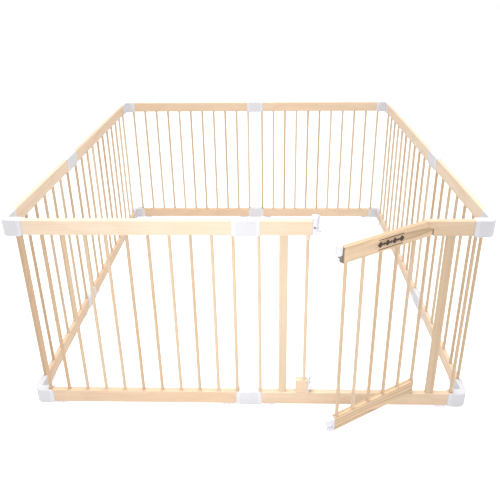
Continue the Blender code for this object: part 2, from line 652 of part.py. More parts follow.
ladder("front_left_panel", FRONT, -width_end, -FIT, -MIDDLE_INSET - long_run, LONG_PANEL_BARS)
ladder("back_left_panel", BACK, -width_end, -FIT, -MIDDLE_INSET - long_run, LONG_PANEL_BARS)
ladder("back_right_panel", BACK, FIT, width_end, MIDDLE_INSET, LONG_PANEL_BARS)
for side, parent in (("left", LEFT), ("right", RIGHT)):
    start, joint = CORNER_GAP, SHORT_SPAN
    ladder(side + "_front_panel", parent, start, joint - FIT, SIDE_END_INSET, SHORT_PANEL_BARS)
    ladder(side + "_back_panel", parent, joint + FIT, depth_end, joint + MIDDLE_INSET, LONG_PANEL_BARS)
gate_panel_frame()
gate_wood()
hinge_pins()
latch()
receivers()
lower_catch()

for level, rail in (("bottom", LOW_RAIL), ("top", TOP_RAIL)):
    for side, parent, at in (
        ("front", FRONT, 0.0),
        ("back", BACK, 0.0),
        ("left", LEFT, SHORT_SPAN),
        ("right", RIGHT, SHORT_SPAN),
    ):
        middle_sleeve(f"{level}_middle_sleeve_{side}", parent, at, rail)
    for y_name, y, sy in (("front", FRONT_Y, -1), ("back", FRONT_Y + 2 * HALF_DEPTH, 1)):
        for x_name, sx in (("left", -1), ("right", 1)):
            name = f"{level}_corner_sleeve_{y_name}_{x_name}"
            corner_sleeve(name, (sx * HALF_WIDTH, y, 0), (sx, sy), rail, (FRONT_END_INSET, SIDE_END_INSET))

for side, parent in (("front", FRONT), ("back", BACK)):
    inner, outer = foot_places(MIDDLE_INSET, MIDDLE_INSET + long_run)
    for number, x in enumerate((-outer, -inner, inner, outer), 1):
        foot(f"foot_{side}_{number}", parent, x)
for side, parent in (("left", LEFT), ("right", RIGHT)):
    near = foot_places(SIDE_END_INSET, SIDE_END_INSET + short_run)
    far = foot_places(SHORT_SPAN + MIDDLE_INSET, SHORT_SPAN + MIDDLE_INSET + long_run)
    for number, x in enumerate((*near, *far), 1):
        foot(f"foot_{side}_{number}", parent, x)
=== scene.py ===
"""Looks of the wooden playpen: pine rails and bars, white sleeves, clear feet and a latched gate.

Metres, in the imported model's frame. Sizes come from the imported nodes' boxes. Long pieces are drawn
along X and then turned about Z. Wood keeps its place in the log as vertex attributes, so its grain
turns with it.
"""
import json
import math
import random

import bmesh
import bpy
from mathutils import Matrix, Vector


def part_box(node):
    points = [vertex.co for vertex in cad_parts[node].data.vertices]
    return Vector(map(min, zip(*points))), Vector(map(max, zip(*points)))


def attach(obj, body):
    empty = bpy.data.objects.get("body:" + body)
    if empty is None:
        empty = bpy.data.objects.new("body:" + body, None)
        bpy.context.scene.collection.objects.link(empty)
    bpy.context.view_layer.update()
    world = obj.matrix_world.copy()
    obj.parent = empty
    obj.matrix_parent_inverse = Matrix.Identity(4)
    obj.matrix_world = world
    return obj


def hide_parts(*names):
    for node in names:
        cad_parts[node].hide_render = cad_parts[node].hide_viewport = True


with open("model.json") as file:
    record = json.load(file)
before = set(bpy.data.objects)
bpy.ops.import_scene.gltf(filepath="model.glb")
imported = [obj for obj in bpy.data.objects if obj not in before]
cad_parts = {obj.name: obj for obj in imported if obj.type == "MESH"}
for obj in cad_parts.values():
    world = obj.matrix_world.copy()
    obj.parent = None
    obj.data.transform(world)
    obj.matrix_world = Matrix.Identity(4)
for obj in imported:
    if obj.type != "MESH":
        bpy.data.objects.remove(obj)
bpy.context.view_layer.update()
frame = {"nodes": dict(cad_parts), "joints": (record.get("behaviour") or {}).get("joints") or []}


# ---------------------------------------------------------------- sizes from the frame

def span(node, axis):
    """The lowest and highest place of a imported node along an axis."""
    low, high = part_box(node)
    return low[axis], high[axis]


def middle(node, axis):
    low, high = span(node, axis)
    return (low + high) / 2


def width(node, axis):
    low, high = span(node, axis)
    return high - low


FRONT = middle("gate_panel_bottom_rail", 1)
BACK = middle("back_left_panel", 1)
LEFT = middle("left_front_panel", 0)
RIGHT = middle("right_front_panel", 0)
LOW_RAIL = span("gate_panel_bottom_rail", 2)
TOP_RAIL = span("latch_side_top_rail", 2)
GATE_LOW_RAIL = (span("gate_lower_frame", 2)[0], span("latch_post_block", 2)[1])
RAIL_HALF = width("gate_panel_bottom_rail", 1) / 2
BAR_R = width("latch_post_bar", 1) / 2
PIN_R = width("upper_hinge_pin", 0) / 2
MIDDLE_INSET = middle("middle_joint_bar", 0)  # from a middle joint to the nearest bar
LAST_BAR = middle("gate_panel_corner_bar", 0)
LONG_BARS = 11
SHORT_BARS = 7
PITCH = (LAST_BAR - MIDDLE_INSET) / (LONG_BARS - 1)
SIDE_JOINT = (span("left_front_panel", 1)[1] + span("left_back_panel", 1)[0]) / 2
LEG = width("top_corner_sleeve_front_left", 0)
SLEEVE_HALF = width("top_middle_sleeve_front", 1) / 2
SLEEVE_WALL = SLEEVE_HALF - RAIL_HALF
SLEEVE_REACH = span("top_middle_sleeve_front", 0)[1]
HINGE = next(j for j in frame["joints"] if j["name"] == "gate_hinge")
PIVOT = Vector(HINGE["pos_m"])
OPEN = -math.radians(HINGE["range_deg"][0])  # how far open the gate is pictured
LAP = sum(TOP_RAIL) / 2  # the fixed top rail laps over the gate's at this height
TONGUE = PIVOT.x - span("hinge_side_top_rail", 0)[0]  # radius of the fixed rail's round end

QUARTER = math.radians(90)
FIT = 0.0003  # play round a bar, pin or rail end in its hole
OVERCUT = 0.01  # how far a cutter reaches past the face that it cuts
SMOOTH = 24  # sides of a cylinder that isn't a bar or a pin

EDGE = 0.003  # rounding of a rail's long edges
SLAT_EDGE = 0.0022
BLOCK_EDGE = 0.002
BAR_SIDES = 20
BAR_EASE = 0.0012  # rounding of a bar's ends
BAR_HOLD = 0.005  # how far a bar goes into a rail
BAR_HOLE = 0.006  # depth of the hole it goes into
PIN_SIDES = 24
PIN_OVERCUT = 0.005
ROUND_END_STEPS = 24  # in the fixed rail's half circle
FIXED_BLANK = 0.06  # the fixed rail reaches this far past the pivot before it is cut round
CUTTER_HALF = 0.05  # half the width of a cutter that is wider than any rail
LAP_GAP = 0.0008
HOLLOW = TONGUE + LAP_GAP  # radius of the gate rail's seat for the fixed rail's round end
HOLLOW_SIDES = 48
SHOULDER = RAIL_HALF + 0.0016  # from the pivot to where the fixed rail has its full height

GATE_BARS = 6
GATE_PITCH = 0.061
GATE_END = 0.3165  # from the pivot to the gate rails' free end
GATE_BLANK = 0.03  # the gate's rails reach this far past the pivot before they are cut round
GATE_ROUND_STEPS = 16
GATE_SIDE_ROOM = 0.001  # how far the cutter for that round end clears the rails' sides

CORNER_ROUND = 0.028  # an elbow's outer corner, seen from above
CORNER_STEPS = 10
CORNER_GAP = 0.0017  # from the other leg's rail to where a leg's hollow starts
BAND = 0.013  # width of the tapered band at a sleeve's end
BAND_TAPER = 0.0011
SLEEVE_EDGE = 0.0024
END_ROUND = 0.013  # rounding of a sleeve end's corner on the bars' side
END_STEPS = 8
END_CUTTER_HALF = 0.03
SLOT_HALF = 0.0072  # half the width of the slot that lets a sleeve slide over a bar
SLOT_BEHIND = 0.0012  # the slot starts this far behind the bar
SLOT_LENGTH = 0.03  # and ends this far past the bar's axis, outside the leg
SLOT_INNER = 0.0015  # how far its cutter reaches past the wall, inwards
SLOT_OUTER = 0.005  # and outwards


# ---------------------------------------------------------------- materials

MIX_A, MIX_B, MIX_RESULT = 6, 7, 2  # the sockets of a Mix node that mixes colours


def dimmed(colour, share):
    return tuple(c * share for c in colour)


class Nodes:
    """A material and short hands for building its node tree."""

    def __init__(self, name):
        self.mat = bpy.data.materials.new(name)
        self.mat.use_nodes = True
        self.tree = self.mat.node_tree
        self.shader = self.tree.nodes["Principled BSDF"]

    def add(self, kind, **settings):
        node = self.tree.nodes.new(kind)
        for key, value in settings.items():
            setattr(node, key, value)
        return node

    def link(self, source, target):
        self.tree.links.new(source, target)

    def feed(self, socket, value):
        """Sets a socket to a number or a colour, or links it to another node's output."""
        if isinstance(value, (int, float)):
            socket.default_value = value
        elif isinstance(value, tuple):
            socket.default_value = (*value, 1.0)
        else:
            self.link(value, socket)

    def math(self, operation, *values):
        node = self.add("ShaderNodeMath", operation=operation)
        for socket, value in zip(node.inputs, values):
            self.feed(socket, value)
        return node.outputs[0]

    def linear(self, source, gain, base):
        return self.math("ADD", self.math("MULTIPLY", source, gain), base)

    def mix(self, factor, a, b, blend="MIX"):
        node = self.add("ShaderNodeMix", data_type="RGBA", blend_type=blend)
        self.feed(node.inputs["Factor"], factor)
        self.feed(node.inputs[MIX_A], a)
        self.feed(node.inputs[MIX_B], b)
        return node.outputs[MIX_RESULT]

    def tint(self, colour, other):
        return self.mix(1.0, colour, other, "MULTIPLY")

    def noise(self, place, scale, detail, roughness, distortion=0.0):
        """Noise at a place, with a scale of its own along each axis."""
        scaled = self.add("ShaderNodeVectorMath", operation="MULTIPLY")
        self.link(place, scaled.inputs[0])
        scaled.inputs[1].default_value = scale
        node = self.add("ShaderNodeTexNoise")
        self.link(scaled.outputs[0], node.inputs["Vector"])
        node.inputs["Scale"].default_value = 1.0
        node.inputs["Detail"].default_value = detail
        node.inputs["Roughness"].default_value = roughness
        node.inputs["Distortion"].default_value = distortion
        return node.outputs["Fac"]

    def ramp(self, factor, stops):
        """Turns a factor into greys, by stops that each give a position and a grey."""
        node = self.add("ShaderNodeValToRGB")
        self.link(factor, node.inputs["Fac"])
        ramp = node.color_ramp
        while len(ramp.elements) < len(stops):
            ramp.elements.new(0.5)
        for element, (position, grey) in zip(ramp.elements, stops):
            element.position = position
            element.color = (grey, grey, grey, 1.0)
        return node.outputs["Color"]

    def surface(self, colour, roughness, height, depth, strength):
        """Links colour and roughness to the shader, and height as a bump of that depth."""
        self.link(colour, self.shader.inputs["Base Color"])
        if roughness is not None:
            self.link(roughness, self.shader.inputs["Roughness"])
        node = self.add("ShaderNodeBump")
        node.inputs["Distance"].default_value = depth
        node.inputs["Strength"].default_value = strength
        self.link(height, node.inputs["Height"])
        self.link(node.outputs["Normal"], self.shader.inputs["Normal"])

    def set(self, **values):
        for key, value in values.items():
            self.shader.inputs[key.replace("_", " ")].default_value = value


# How dark the wood is across a ring: pale early wood, then a dark line of late wood
RING_STOPS = [(0.0, 0.1), (0.25, 0.0), (0.70, 0.45), (0.90, 1.0), (1.0, 0.1)]
STREAK_STOPS = [(0.42, 0.0), (0.72, 0.42)]
BLUSH_STOPS = [(0.35, 0.0), (0.65, 1.0)]
PORE_STOPS = [(0.3, 0.91), (0.6, 1.0)]
NO_TINT = (1.0, 1.0, 1.0)
BLUSH = (1.02, 0.965, 0.93)
DARK_BOARD = (0.90, 0.80, 0.70)
PALE_BOARD = (1.05, 1.07, 1.08)
SWAY = (("Y", 0.05), ("Z", 0.03))  # how far, in metres, a trunk sways from a straight line
CURL = 0.9  # how many rings' widths the rings wave
FLOW_STOPS = [(0.35, 0.0), (0.7, 1.0)]


def wood(name, pale, deep, rings_per_metre, ring_strength, wander=1.0):
    """Pine. Each board carries its place in the log ("grain", with X along the fibres) and its
    shade ("tone"). wander says how far the rings stray from the board's axis: little in the bars,
    which are turned from straight stock."""
    n = Nodes(name)
    log = n.add("ShaderNodeAttribute", attribute_name="grain").outputs["Vector"]
    shade = n.add("ShaderNodeAttribute", attribute_name="tone").outputs["Fac"]

    sway = n.noise(log, (1.4, 3.0, 3.0), detail=2.0, roughness=0.5)
    curl = n.noise(log, (5.0, 28.0, 28.0), detail=2.5, roughness=0.5, distortion=0.3)
    parts = n.add("ShaderNodeSeparateXYZ")
    n.link(log, parts.inputs[0])
    across = n.add("ShaderNodeCombineXYZ")
    for axis, reach in SWAY:
        shift = n.math("MULTIPLY", sway, reach * wander)
        n.link(n.math("ADD", parts.outputs[axis], shift), across.inputs[axis])
    radius = n.add("ShaderNodeVectorMath", operation="LENGTH")
    n.link(across.outputs[0], radius.inputs[0])
    layers = n.math("MULTIPLY", radius.outputs["Value"], rings_per_metre)
    layers = n.math("ADD", layers, n.math("MULTIPLY", curl, CURL * wander))
    late = n.ramp(n.math("FRACT", layers), RING_STOPS)
    fibre = n.noise(log, (14.0, 1100.0, 1100.0), detail=2.0, roughness=0.6)
    streak = n.noise(log, (2.2, 160.0, 160.0), detail=3.0, roughness=0.6)
    blush = n.noise(log, (2.6, 9.0, 9.0), detail=2.0, roughness=0.5)

    colour = n.mix(n.math("MULTIPLY", late, ring_strength), pale, deep)
    colour = n.mix(n.ramp(streak, STREAK_STOPS), colour, deep)
    colour = n.tint(colour, n.mix(n.ramp(blush, BLUSH_STOPS), NO_TINT, BLUSH))
    # Each board's tone; for some listed boards it also holds painted shade for less light.
    colour = n.tint(colour, n.mix(shade, DARK_BOARD, PALE_BOARD))
    colour = n.tint(colour, n.ramp(fibre, PORE_STOPS))
    rough = n.linear(late, 0.10, 0.42)
    height = n.math("ADD", n.math("MULTIPLY", fibre, 0.6), n.math("MULTIPLY", late, 0.4))
    n.surface(colour, rough, height, depth=0.00022, strength=0.5)
    n.set(Coat_Weight=0.2, Coat_Roughness=0.3)
    return n.mat


def plastic(name, colour, roughness):
    """Moulded plastic: a fine spark-eroded texture, faint flow marks and slightly uneven gloss."""
    n = Nodes(name)
    place = n.add("ShaderNodeTexCoord").outputs["Object"]
    fine = n.noise(place, (900.0, 900.0, 900.0), detail=2.0, roughness=0.6)
    flow = n.noise(place, (14.0, 14.0, 30.0), detail=3.0, roughness=0.55, distortion=0.6)
    shade = n.mix(n.ramp(flow, FLOW_STOPS), colour, dimmed(colour, 0.965))
    rough = n.linear(flow, 0.12, roughness)
    height = n.math("ADD", fine, n.math("MULTIPLY", flow, 2.0))
    n.surface(shade, rough, height, depth=0.00006, strength=0.6)
    return n.mat


def clear_rubber(name, colour):
    """Clear, slightly milky vinyl, with faint flow marks."""
    n = Nodes(name)
    place = n.add("ShaderNodeTexCoord").outputs["Object"]
    flow = n.noise(place, (60.0, 60.0, 90.0), detail=2.0, roughness=0.5, distortion=0.5)
    shade = n.mix(flow, colour, dimmed(colour, 0.93))
    n.surface(shade, n.linear(flow, 0.15, 0.22), flow, depth=0.00012, strength=0.5)
    n.set(Transmission_Weight=0.85, IOR=1.25)
    return n.mat


def metal(name, colour, roughness):
    """Turned steel with fine rings round its axis."""
    n = Nodes(name)
    place = n.add("ShaderNodeTexCoord").outputs["Object"]
    marks = n.noise(place, (60.0, 60.0, 2600.0), detail=2.0, roughness=0.6)
    shade = n.mix(marks, dimmed(colour, 0.85), colour)
    n.surface(shade, n.linear(marks, 0.15, roughness), marks, depth=0.00005, strength=0.4)
    n.set(Metallic=1.0)
    return n.mat


def ink(name, colour):
    """Printed ink, a little thin over the grain."""
    n = Nodes(name)
    place = n.add("ShaderNodeTexCoord").outputs["Object"]
    patches = n.noise(place, (40.0, 300.0, 300.0), detail=3.0, roughness=0.6)
    shade = n.mix(patches, dimmed(colour, 0.8), dimmed(colour, 1.25))
    n.surface(shade, None, patches, depth=0.00005, strength=0.4)
    n.set(Roughness=0.5)
    return n.mat


RAIL_WOOD = wood("pine_rail", (0.84, 0.705, 0.56), (0.73, 0.56, 0.40), 150.0, 0.42)
BAR_WOOD = wood("pine_bar", (0.72, 0.585, 0.43), (0.56, 0.41, 0.27), 260.0, 0.40, 0.12)
GATE_WOOD = wood("gate_rail", (0.80, 0.625, 0.44), (0.43, 0.315, 0.19), 130.0, 0.88)
WHITE = plastic("sleeve_white", (0.68, 0.68, 0.715), 0.36)
# Painted highlight: the sleeves' tapered end bands are drawn lighter, standing in for the light their
# tilted faces catch.
BAND_PAINTED_HIGHLIGHT = plastic("sleeve_band_white", (0.73, 0.73, 0.765), 0.34)
LATCH_WHITE = plastic("latch_white", (0.77, 0.775, 0.83), 0.30)
COLLAR_BEIGE = plastic("collar_beige", (0.84, 0.70, 0.55), 0.34)
# Painted shade: the guide plate is coloured dark to stand in for the shadow gap between the knob and
# the wood.
DARK_GREY_AND_PAINTED_GAP_SHADE = plastic("latch_grey", (0.24, 0.21, 0.17), 0.45)
RUBBER = clear_rubber("foot_rubber", (0.90, 0.90, 0.96))
STEEL = metal("pin_steel", (0.42, 0.42, 0.44), 0.32)
INK = ink("print_brown", (0.05, 0.02, 0.012))


# ---------------------------------------------------------------- mesh helpers

SHARP = math.radians(30.0)  # an edge between faces at a larger angle is rounded


def bevel(bm, edges, radius, segments=3):
    bmesh.ops.bevel(bm, geom=edges, offset=radius, segments=segments, profile=0.5, affect="EDGES",
                    clamp_overlap=True)


def add_box(bm, low, high, radius=0.0, segments=3):
    """A box between two corners, with its edges rounded if radius isn't 0."""
    low, high = Vector(low), Vector(high)
    place = Matrix.Translation((low + high) / 2) @ Matrix.Diagonal((*(high - low), 1.0))
    verts = bmesh.ops.create_cube(bm, size=1.0, matrix=place)["verts"]
    if radius:
        bevel(bm, list({e for v in verts for e in v.link_edges}), radius, segments)


def ease_along(bm, radius):
    """Rounds the four long edges of a box that lies along X, and leaves its sawn ends square."""
    bevel(bm, [e for e in bm.edges if abs(e.verts[0].co.x - e.verts[1].co.x) > radius], radius)


def round_sharp_edges(bm, radius):
    sharp = [e for e in bm.edges if len(e.link_faces) == 2 and e.calc_face_angle(0.0) > SHARP]
    bevel(bm, sharp, radius)


def add_rod(bm, x, y, low, high, radius, sides=SMOOTH):
    """An upright cylinder."""
    bmesh.ops.create_cone(bm, cap_ends=True, segments=sides, radius1=radius, radius2=radius,
                          depth=high - low, matrix=Matrix.Translation((x, y, (low + high) / 2)))


def circle_of(bm, x, y, radius, z, sides):
    turn = [2 * math.pi * i / sides for i in range(sides)]
    return [bm.verts.new((x + radius * math.cos(a), y + radius * math.sin(a), z)) for a in turn]


def join_rings(bm, a, b):
    """Adds the walls between two rings of vertices."""
    for i in range(len(a)):
        j = (i + 1) % len(a)
        bm.faces.new((a[i], b[i], b[j], a[j]))


def add_turned(bm, x, y, profile, sides):
    """A solid turned about an upright axis. profile has radii and heights, from top to bottom,
    and its first and last radius are 0."""
    top, *circles, bottom = [
        circle_of(bm, x, y, radius, z, sides) if radius else bm.verts.new((x, y, z))
        for radius, z in profile]
    for i in range(sides):
        bm.faces.new((top, circles[0][i], circles[0][(i + 1) % sides]))
    for upper, lower in zip(circles, circles[1:]):
        join_rings(bm, upper, lower)
    for i in range(sides):
        bm.faces.new((circles[-1][i], bottom, circles[-1][(i + 1) % sides]))
    bmesh.ops.recalc_face_normals(bm, faces=bm.faces)


def arc(cx, cy, radius, start, end, steps):
    """Points along an arc between two angles in degrees."""
    turn = [math.radians(start + (end - start) * i / steps) for i in range(steps + 1)]
    return [(cx + radius * math.cos(a), cy + radius * math.sin(a)) for a in turn]


def add_prism(bm, outline, low, high):
    """An upright prism over an outline of points in X and Y."""
    ring = [bm.verts.new((x, y, low)) for x, y in outline]
    face = bm.faces.new(ring)
    made = bmesh.ops.extrude_face_region(bm, geom=[face])["geom"]
    top = [v for v in made if isinstance(v, bmesh.types.BMVert)]
    bmesh.ops.translate(bm, verts=top, vec=(0, 0, high - low))
    bmesh.ops.recalc_face_normals(bm, faces=bm.faces)


def box_mesh(low, high, radius=0.0, segments=3):
    bm = bmesh.new()
    add_box(bm, low, high, radius, segments)
    return bm


def rod_mesh(x, y, low, high, radius, sides=SMOOTH):
    bm = bmesh.new()
    add_rod(bm, x, y, low, high, radius, sides)
    return bm


def level_rod_mesh(at, length, radius):
    """A cylinder along Y."""
    bm = bmesh.new()
    place = Matrix.Translation(at) @ Matrix.Rotation(QUARTER, 4, "X")
    bmesh.ops.create_cone(bm, cap_ends=True, segments=SMOOTH, radius1=radius, radius2=radius,
                          depth=length, matrix=place)
    return bm


def to_object(name, bm, material=None):
    mesh = bpy.data.meshes.new(name)
    bm.to_mesh(mesh)
    bm.free()
    obj = bpy.data.objects.new(name, mesh)
    if material:
        mesh.materials.append(material)
    bpy.context.scene.collection.objects.link(obj)
    return obj


def carve(obj, steps):
    """Joins and cuts obj with bmeshes, in order, and keeps the result as its mesh."""
    tools = []
    for number, (operation, bm) in enumerate(steps):
        tool = to_object(f"{obj.name}_tool_{number}", bm)
        tools.append(tool)
        change = obj.modifiers.new(operation.title(), "BOOLEAN")
        change.operation = operation
        change.solver = "EXACT"
        change.object = tool
    bpy.context.view_layer.update()
    evaluated = obj.evaluated_get(bpy.context.evaluated_depsgraph_get())
    result = bpy.data.meshes.new_from_object(evaluated)
    obj.modifiers.clear()
    obj.data = result
    for tool in tools:
        bpy.data.objects.remove(tool)


def paint(obj, material, chosen):
    """Gives the faces that chosen picks by their centres another material."""
    obj.data.materials.append(material)
    number = len(obj.data.materials) - 1
    for face in obj.data.polygons:
        if chosen(face.center):
            face.material_index = number


def finish_piece(obj, body, turn=0.0, place=(0, 0, 0), nodes=(), crease=40.0):
    """Turns and places the mesh itself, so that the object stays at the origin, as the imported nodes
    do. Edges stay sharp where the faces meet at more than crease degrees."""
    obj.data.transform(Matrix.Translation(place) @ Matrix.Rotation(turn, 4, "Z"))
    obj.data.shade_smooth()
    obj.data.set_sharp_from_angle(angle=math.radians(crease))
    weigh = obj.modifiers.new("Normals", "WEIGHTED_NORMAL")
    weigh.keep_sharp = True
    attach(obj, body)
    if nodes:
        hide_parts(*nodes)


# How pale a board is, from 0 to 1, where it is given; the others draw theirs by chance. The
# listed values are partly the boards' own tone and partly painted shade: the front left bottom
# rail and the hinge side rail are darkened for the light that falls off low on the front and
# towards its ends.
TONES_AND_PAINTED_SHADE = {
    "front_left_panel_top_rail": 0.80, "front_left_panel_bottom_rail": 0.15,
    "back_left_panel_top_rail": 0.15, "back_left_panel_bottom_rail": 0.10,
    "back_right_panel_top_rail": 0.30, "back_right_panel_bottom_rail": 0.35,
    "left_front_panel_top_rail": 0.60, "left_back_panel_top_rail": 0.35,
    "right_front_panel_top_rail": 0.60, "right_back_panel_top_rail": 0.60,
    "gate_panel_lower_rail": 0.25, "latch_side_rail": 0.75, "hinge_side_rail": 0.15,
    "gate_top_rail_wood": 0.50, "gate_bottom_rail_wood": 0.40, "latch_block": 0.45,
}
# Where in its log a board lies: along the fibres, and to either side of the pith
LOG_RANGES = ((-9, 9), (0.02, 0.07), (-0.03, 0.03))


def set_grain(obj, upright, spacing=None):
    """Gives every vertex its place in a log and its board's shade. The mesh is one board, or it is
    split into boards by rounding X to a multiple of spacing."""
    heights = [v.co.z for v in obj.data.vertices]
    centre = (min(heights) + max(heights)) / 2
    boards = {}
    places = []
    shades = []
    for vertex in obj.data.vertices:
        x, y, z = vertex.co
        number = round(x / spacing) if spacing else 0
        if number not in boards:
            dice = random.Random(f"{obj.name} {number}")
            start = Vector([dice.uniform(*limits) for limits in LOG_RANGES])
            # A listed value may hold painted shade, for a board that gets less light.
            boards[number] = (start, TONES_AND_PAINTED_SHADE.get(obj.name, dice.random()), x)
        start, shade, home = boards[number]
        if upright:
            local = Vector((z, x - home, y))
        else:
            local = Vector((x, y, z - centre))
        places.extend(local + start)
        shades.append(shade)
    grain = obj.data.attributes.new("grain", "FLOAT_VECTOR", "POINT")
    grain.data.foreach_set("vector", places)
    tone = obj.data.attributes.new("tone", "FLOAT", "POINT")
    tone.data.foreach_set("value", shades)


# ---------------------------------------------------------------- wood

def drill_for_bar(bm, x, y, face, sign, sides=BAR_SIDES):
    """Adds a bar's blind hole in an upper (sign 1) or lower (sign -1) face at that height."""
    low, high = sorted((face - sign * BAR_HOLE, face + sign * OVERCUT))
    add_rod(bm, x, y, low, high, BAR_R + FIT, sides)


def drill_for_pin(bm, x, y, pin, mouth, sign):
    """Adds a blind hole for a hinge pin's upper (sign 1) or lower (sign -1) end. It opens in a face
    at the height mouth."""
    low, high = span(pin, 2)
    bottom = high + FIT if sign > 0 else low - FIT
    low, high = sorted((bottom, mouth - sign * PIN_OVERCUT))
    add_rod(bm, x, y, low, high, PIN_R + FIT, PIN_SIDES)


def rail(name, low, high, line, heights, holes, sign, turn=0.0, nodes=(), pin=None):
    """A rail along its frame's X axis, drilled for bars in its upper (sign 1) or lower (sign -1)
    face, and for the hinge pin that stands in its upper face if there is one."""
    bm = bmesh.new()
    add_box(bm, (low, line - RAIL_HALF, heights[0]), (high, line + RAIL_HALF, heights[1]))
    ease_along(bm, EDGE)
    obj = to_object(name, bm, RAIL_WOOD)
    cut = bmesh.new()
    for x in holes:
        drill_for_bar(cut, x, line, heights[1] if sign > 0 else heights[0], sign)
    if pin:
        drill_for_pin(cut, PIVOT.x, line, pin, heights[1], -1)
    carve(obj, [("DIFFERENCE", cut)])
    set_grain(obj, False)
    finish_piece(obj, "pen", turn, nodes=nodes)


def bars(name, places, line, foot, pitch, body="pen", turn=0.0, place=(0, 0, 0),
         nodes=()):
    """Round bars with slightly eased ends, from a hole in a face at the height foot to one in the
    top rail."""
    bm = bmesh.new()
    low, high = foot - BAR_HOLD, TOP_RAIL[0] + BAR_HOLD
    profile = [(0.0, high), (BAR_R - BAR_EASE, high), (BAR_R, high - BAR_EASE),
               (BAR_R, low + BAR_EASE), (BAR_R - BAR_EASE, low), (0.0, low)]
    for x in places:
        add_turned(bm, x, line, profile, BAR_SIDES)
    obj = to_object(name, bm, BAR_WOOD)
    set_grain(obj, True, pitch / 2)
    finish_piece(obj, body, turn, place, nodes)


def ladder(name, turn, line, low, high, places):
    """A glued panel: two rails and their bars."""
    rail(name + "_top_rail", low, high, line, TOP_RAIL, places, -1, turn)
    rail(name + "_bottom_rail", low, high, line, LOW_RAIL, places, 1, turn)
    bars(name + "_bars", places, line, LOW_RAIL[1], PITCH, turn=turn, nodes=[name])


def run_of(first, count, step):
    return [first + i * step for i in range(count)]


def panels():
    """The seven glued panels."""
    long_left = run_of(-MIDDLE_INSET, LONG_BARS, -PITCH)
    long_right = run_of(MIDDLE_INSET, LONG_BARS, PITCH)
    ladder("front_left_panel", 0.0, FRONT, *span("front_left_panel", 0), long_left)
    ladder("back_left_panel", 0.0, BACK, *span("back_left_panel", 0), long_left)
    ladder("back_right_panel", 0.0, BACK, *span("back_right_panel", 0), long_right)
    near = run_of(SIDE_JOINT - MIDDLE_INSET, SHORT_BARS, -PITCH)
    far = run_of(SIDE_JOINT + MIDDLE_INSET, LONG_BARS, PITCH)
    for side, line in (("left", -LEFT), ("right", -RIGHT)):
        for part, places in (("_front_panel", near), ("_back_panel", far)):
            ladder(side + part, QUARTER, line, *span(side + part, 1), places)


def slat(name):
    obj = to_object(name + "_wood", box_mesh(*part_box(name), SLAT_EDGE), BAR_WOOD)
    set_grain(obj, True)
    finish_piece(obj, "pen", nodes=[name])


def gate_panel():
    """The fixed pieces round the gateway."""
    latch_bar = middle("latch_post_bar", 0)
    rail("gate_panel_lower_rail", *span("gate_panel_bottom_rail", 0), FRONT, LOW_RAIL,
         [MIDDLE_INSET, LAST_BAR], 1, nodes=["gate_panel_bottom_rail"], pin="lower_hinge_pin")
    rail("latch_side_rail", *span("latch_side_top_rail", 0), FRONT, TOP_RAIL,
         [MIDDLE_INSET, latch_bar], -1, nodes=["latch_side_top_rail"])
    hinge_side_rail()
    for node in ("latch_side_slat", "hinge_side_slat"):
        slat(node)
    for node, foot in (("middle_joint_bar", LOW_RAIL[1]), ("gate_panel_corner_bar", LOW_RAIL[1]),
                       ("latch_post_bar", GATE_LOW_RAIL[1])):
        bars(node + "_wood", [middle(node, 0)], FRONT, foot, PITCH, nodes=[node])
    low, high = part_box("latch_post_block")
    block = to_object("latch_block", box_mesh(low, high, BLOCK_EDGE), RAIL_WOOD)
    hole = bmesh.new()
    drill_for_bar(hole, latch_bar, FRONT, high[2], 1, SMOOTH)
    carve(block, [("DIFFERENCE", hole)])
    set_grain(block, False)
    finish_piece(block, "pen", nodes=["latch_post_block"])


def hinge_side_rail():
    """The fixed top rail at the hinge side, whose upper half reaches over the pivot with a round
    end."""
    low, top = TOP_RAIL
    high = span("hinge_side_top_rail", 0)[1]
    blank = box_mesh((PIVOT.x - FIXED_BLANK, FRONT - RAIL_HALF, low),
                     (high, FRONT + RAIL_HALF, top), EDGE)
    obj = to_object("hinge_side_rail", blank, RAIL_WOOD)
    under = box_mesh((PIVOT.x - 2 * CUTTER_HALF, FRONT - CUTTER_HALF, low - OVERCUT),
                     (PIVOT.x + SHOULDER, FRONT + CUTTER_HALF, LAP + LAP_GAP))
    keep = bmesh.new()
    outline = arc(PIVOT.x, FRONT, TONGUE, 90, 270, ROUND_END_STEPS)
    outline += [(high + 2 * OVERCUT, FRONT - TONGUE), (high + 2 * OVERCUT, FRONT + TONGUE)]
    add_prism(keep, outline, low - 2 * OVERCUT, top + 2 * OVERCUT)
    hole = bmesh.new()
    drill_for_bar(hole, LAST_BAR, FRONT, low, -1, SMOOTH)
    drill_for_pin(hole, PIVOT.x, FRONT, "upper_hinge_pin", LAP, 1)
    carve(obj, [("INTERSECT", keep), ("DIFFERENCE", under), ("DIFFERENCE", hole)])
    set_grain(obj, False)
    finish_piece(obj, "pen", nodes=["hinge_side_top_rail"])


def gate_rail(name, heights, cuts, node):
    """One of the gate's two rails, with a round end about the pivot."""
    low, high = heights
    blank = box_mesh((-GATE_END, -RAIL_HALF, low), (GATE_BLANK, RAIL_HALF, high), EDGE)
    obj = to_object(name, blank, GATE_WOOD)
    side, end = RAIL_HALF + GATE_SIDE_ROOM, -GATE_END - OVERCUT
    outline = arc(0, 0, RAIL_HALF, -90, 90, GATE_ROUND_STEPS) + [(end, side), (end, -side)]
    keep = bmesh.new()
    add_prism(keep, outline, low - OVERCUT, high + OVERCUT)
    carve(obj, [("INTERSECT", keep)] + [("DIFFERENCE", cut) for cut in cuts])
    set_grain(obj, False)
    finish_piece(obj, "gate", OPEN, PIVOT, [node])


